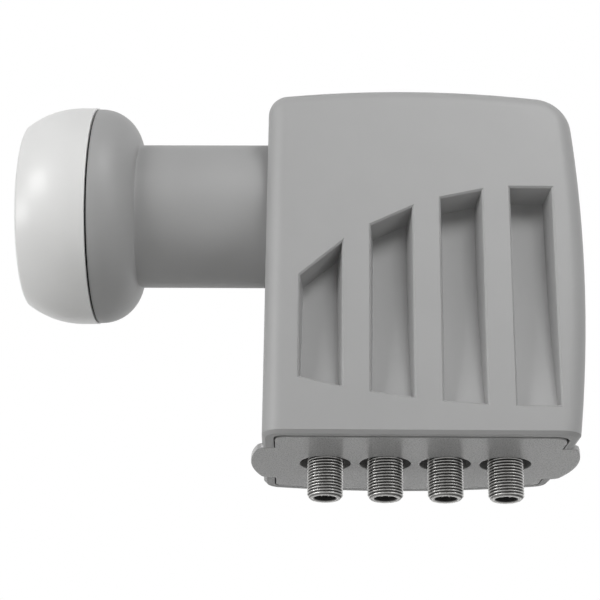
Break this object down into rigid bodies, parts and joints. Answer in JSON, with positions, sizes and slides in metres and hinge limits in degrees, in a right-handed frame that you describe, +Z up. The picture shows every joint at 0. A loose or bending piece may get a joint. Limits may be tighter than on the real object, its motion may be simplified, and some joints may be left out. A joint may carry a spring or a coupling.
{
  "type": "satellite low-noise block",
  "caption": "Weatherproof satellite dish converter: round capped feed on a clamp neck beside a fluted box housing with threaded coaxial outputs below.",
  "frame": {"origin": "on the neck's axis, midway along the stretch that the dish's clamp grips", "axes": "+X along the neck from the feed cap to the housing, +Y to the rear, +Z up, outputs pointing down"},
  "size_m": [0.1511, 0.0604, 0.1115],
  "materials": {
    "housing_plastic": "fine moulded texture",
    "cap_plastic": "satin",
    "rubber": "matte",
    "die_cast": "as cast",
    "board": "solder mask",
    "chip_plastic": "moulded",
    "ceramic": "fired",
    "connector_metal": "nickel plated",
    "insulator": "moulded"
  },
  "bodies": {
    "root": {"front_cover": "housing_plastic", "rear_cover": "housing_plastic", "connector_plate": "housing_plastic", "neck_sleeve": "housing_plastic", "feed_cap": "cap_plastic", "cap_seal": "rubber", "jack_gasket": "rubber", "feed_horn": "die_cast", "chassis": "die_cast", "chassis_lid": "die_cast", "rf_board": "board", "board_chips": "chip_plastic", "dielectric_resonators": "ceramic", "horizontal_probe": "connector_metal", "vertical_probe": "connector_metal", "f_jack_1": "connector_metal", "f_jack_2": "connector_metal", "f_jack_3": "connector_metal", "f_jack_4": "connector_metal", "jack_insulator_1": "insulator", "jack_insulator_2": "insulator", "jack_insulator_3": "insulator", "jack_insulator_4": "insulator", "jack_contact_1": "connector_metal", "jack_contact_2": "connector_metal", "jack_contact_3": "connector_metal", "jack_contact_4": "connector_metal"}
  },
  "joints": []
}
